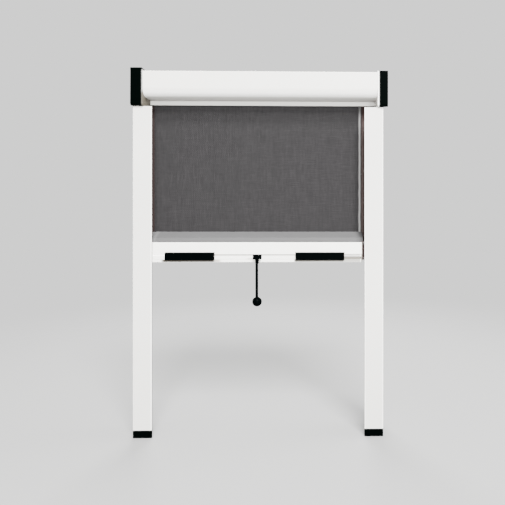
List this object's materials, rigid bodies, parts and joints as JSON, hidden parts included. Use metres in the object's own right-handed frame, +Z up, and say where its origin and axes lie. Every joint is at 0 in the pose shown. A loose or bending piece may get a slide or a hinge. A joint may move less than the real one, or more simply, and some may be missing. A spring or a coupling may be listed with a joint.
{
  "type": "roller window screen",
  "caption": "Roller insect screen for a window: cassette with end caps, side guides on feet, a pull bar with grips, mesh on a sprung roller and a pull cord with a ball.",
  "frame": {"origin": "centre of the footprint in X and Y, at the underside of the feet", "axes": "+Z up; -Y faces the room, where the cord hangs; +X is to the right seen from the room"},
  "size_m": [0.313, 0.049, 0.4518],
  "materials": {
    "white_paint": "satin white paint on extruded aluminium",
    "white_plastic": "matt white moulding",
    "pale_plate": "pale cream painted sheet",
    "black_plastic": "matt black moulding",
    "screw_steel": "zinc plated",
    "bare_aluminium": "mill finish",
    "brown_pile": "short dark brown pile",
    "brown_band": "dark brown woven band",
    "pale_tape": "pale grey woven tape",
    "grey_mesh": "dark grey woven insect mesh",
    "grey_seal": "soft grey seal strip",
    "black_cord": "black braided cord"
  },
  "bodies": {
    "frame": {"cassette": "white_paint", "left_side_plate": "pale_plate", "right_side_plate": "pale_plate", "left_end_cap": "black_plastic", "right_end_cap": "black_plastic", "end_cap_screws": "screw_steel", "left_guide": "white_paint", "right_guide": "white_paint", "left_groove_piles": "brown_pile", "right_groove_piles": "brown_pile", "left_foot": "black_plastic", "right_foot": "black_plastic", "slot_pile": "brown_pile", "spring_shaft": "screw_steel", "spring_anchor": "black_plastic", "torsion_spring": "screw_steel", "insect_mesh": "grey_mesh", "mesh_edge_bands": "brown_band", "mesh_edge_tape": "pale_tape"},
    "roller": {"roller_tube": "bare_aluminium", "idle_plug": "black_plastic", "spring_plug": "black_plastic", "mesh_roll": "grey_mesh"},
    "bar": {"pull_bar": "white_paint", "front_top_seal": "grey_seal", "back_top_seal": "grey_seal", "hem_bead": "white_plastic", "left_bar_end": "white_plastic", "right_bar_end": "white_plastic", "bar_end_piles": "brown_pile", "bottom_pile": "brown_pile", "left_handle": "black_plastic", "right_handle": "black_plastic", "groove_covers": "white_plastic", "groove_filler": "pale_plate", "cord_clip": "black_plastic", "pull_cord": "black_cord", "cord_ball": "black_plastic"}
  },
  "joints": [
    {"name": "bar_slide", "type": "slide", "parent": "frame", "child": "bar", "axis": [0, 0, 1], "range_m": [-0.2052, 0.1575], "deforming": ["insect_mesh", "mesh_edge_bands", "mesh_edge_tape"]},
    {"name": "roller_turn", "type": "hinge", "parent": "frame", "child": "roller", "pos_m": [0, -0.0048, 0.4325], "axis": [1, 0, 0], "range_deg": [-1045, 803]}
  ],
  "couplings": [
    {"joint": "roller_turn", "follows": "bar_slide", "rad_per_m": 88.496}
  ]
}
